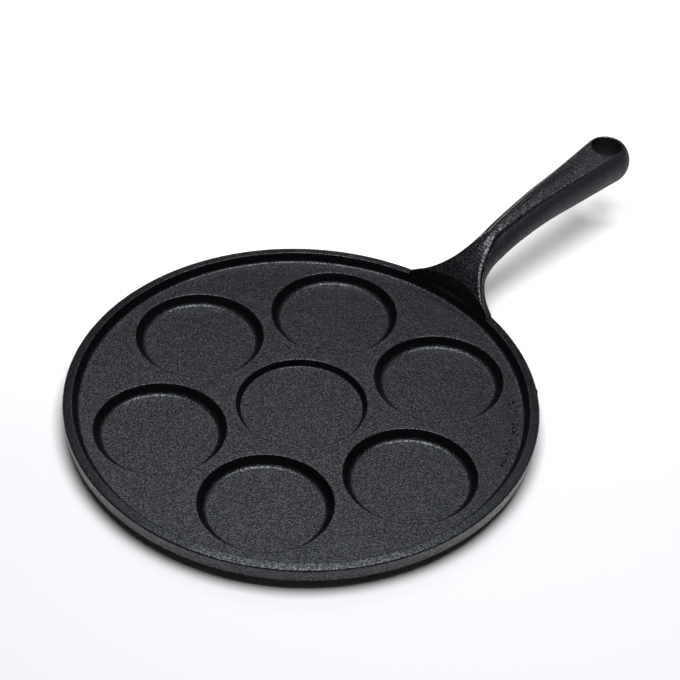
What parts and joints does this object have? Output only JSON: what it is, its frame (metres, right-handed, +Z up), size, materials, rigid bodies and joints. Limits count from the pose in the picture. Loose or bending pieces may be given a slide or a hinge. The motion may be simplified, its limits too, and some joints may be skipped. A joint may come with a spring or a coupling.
{
  "type": "plett pan",
  "caption": "Cast iron pan for small round pancakes: shallow round wells in a griddle plate with a low rim, and a rising handle that flares from the rim and ends in a hanging eye.",
  "frame": {"origin": "centre of the flat underside of the centre well's boss, on the surface that the pan stands on", "axes": "+X from the pan's centre along the handle, +Z up out of the wells"},
  "size_m": [0.3803, 0.2406, 0.0453],
  "materials": {
    "body_iron": "sand-cast, seasoned black, matte with a fine grain",
    "handle_iron": "sand-cast, seasoned black, slightly smoother, with a soft sheen"
  },
  "bodies": {
    "root": {"griddle_plate": "body_iron", "rim_wall": "body_iron", "well_centre": "body_iron", "well_1": "body_iron", "well_2": "body_iron", "well_3": "body_iron", "well_4": "body_iron", "well_5": "body_iron", "well_6": "body_iron", "handle_flare": "handle_iron", "handle_grip": "handle_iron", "handle_eye": "handle_iron"}
  },
  "joints": []
}
